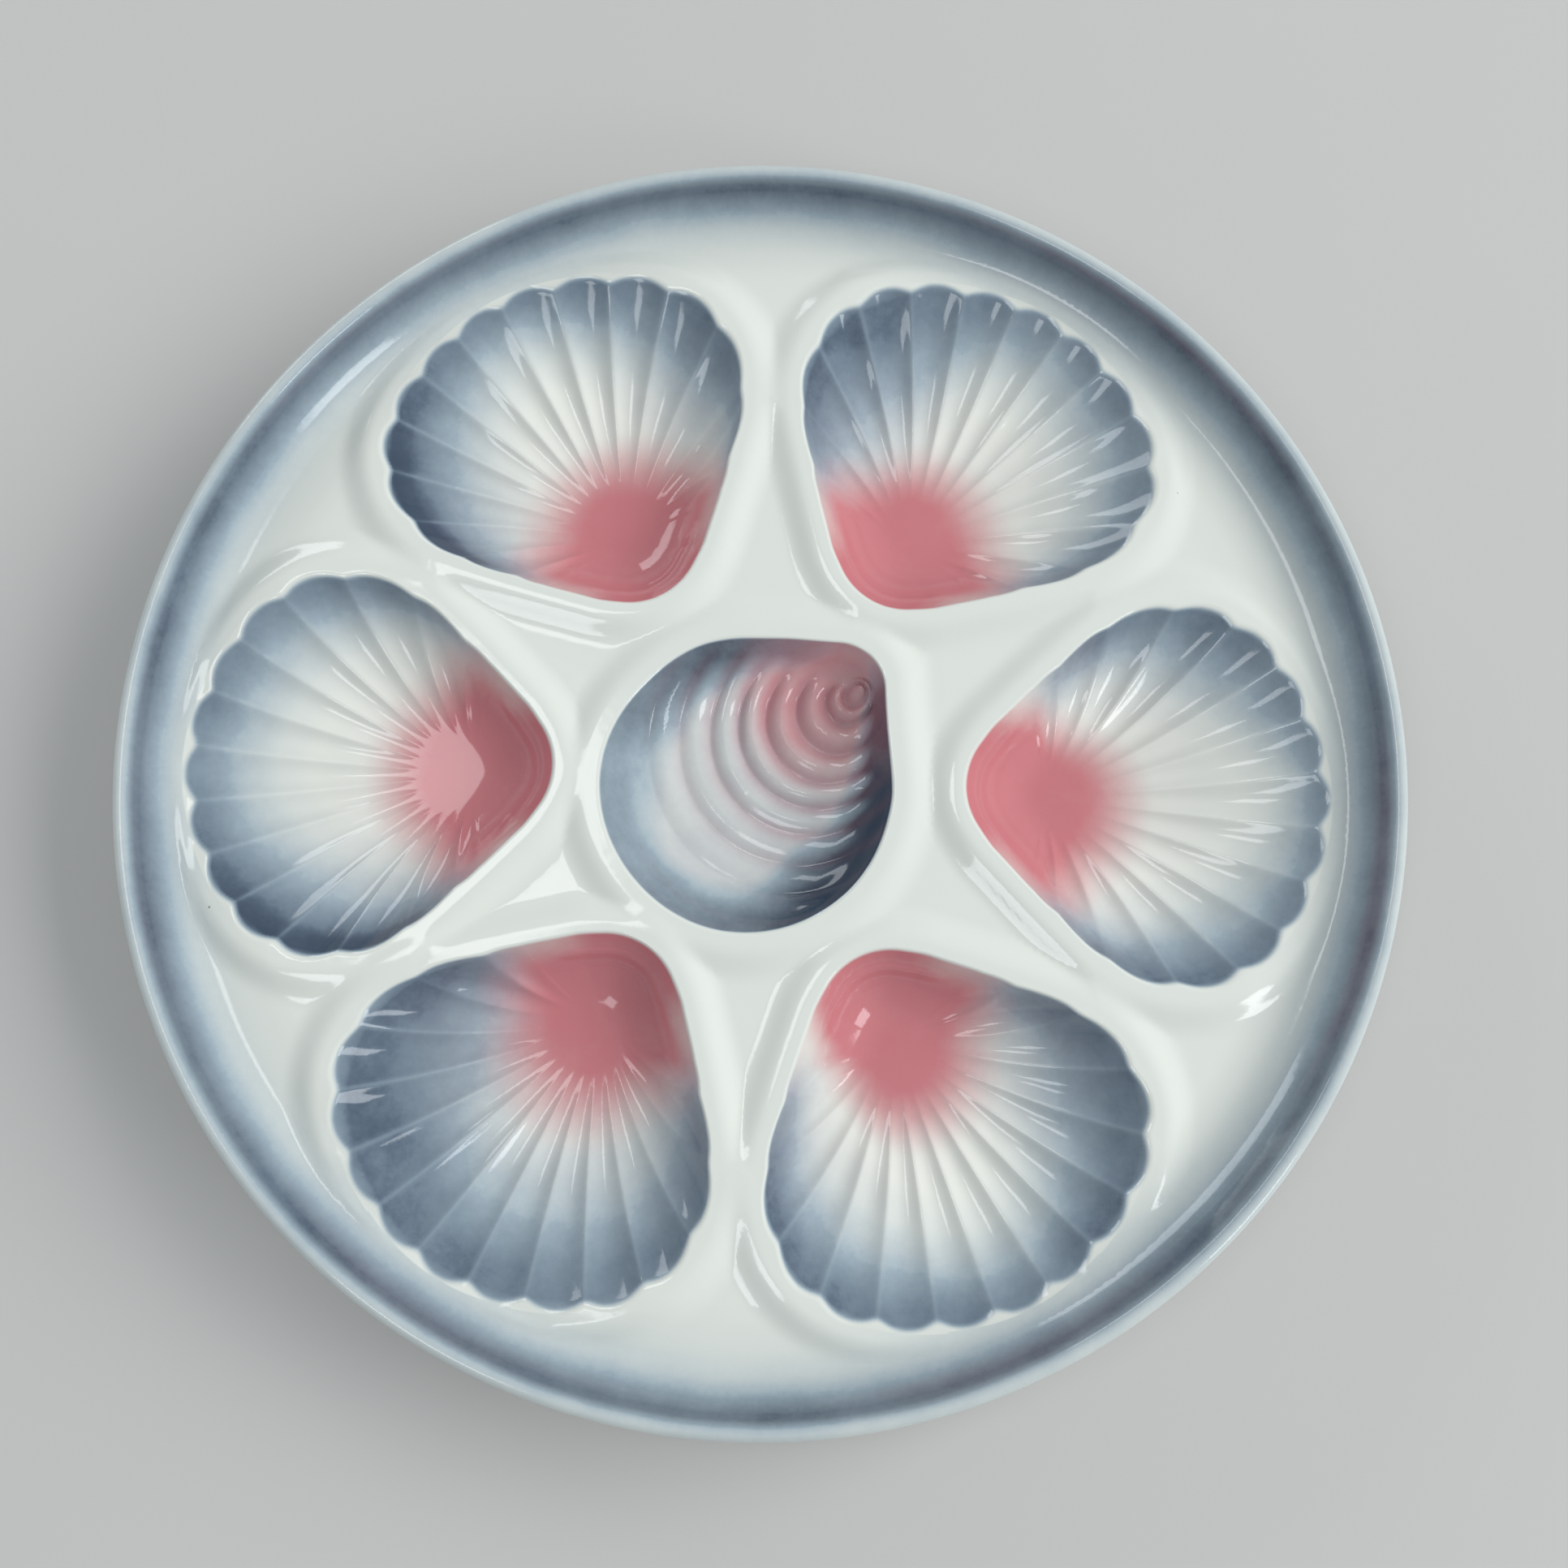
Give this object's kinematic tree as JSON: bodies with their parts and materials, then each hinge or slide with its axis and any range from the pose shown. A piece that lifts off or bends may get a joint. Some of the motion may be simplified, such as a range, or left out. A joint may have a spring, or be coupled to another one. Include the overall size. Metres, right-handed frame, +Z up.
{
  "type": "oyster plate",
  "caption": "Round glazed earthenware oyster plate: fluted scallop-shell wells around a whelk-shell sauce well, inside a channel and a raised rounded rim.",
  "frame": {"origin": "centre of the foot ring's underside, on the table, under the middle of the plate", "axes": "+Z up out of the plate; +X from the middle towards the middle of one shell well, with the whelk's tip about 40 degrees anticlockwise from it seen from above; +Y completes the right-handed frame"},
  "size_m": [0.25, 0.25, 0.026],
  "materials": {
    "rim_glaze": "gloss",
    "deck_glaze": "gloss",
    "shell_glaze": "gloss",
    "sauce_glaze": "gloss",
    "foot_glaze": "gloss"
  },
  "bodies": {
    "root": {"rim": "rim_glaze", "deck": "deck_glaze", "shell_well_1": "shell_glaze", "shell_well_2": "shell_glaze", "shell_well_3": "shell_glaze", "shell_well_4": "shell_glaze", "shell_well_5": "shell_glaze", "shell_well_6": "shell_glaze", "sauce_well": "sauce_glaze", "foot_ring": "foot_glaze"}
  },
  "joints": []
}
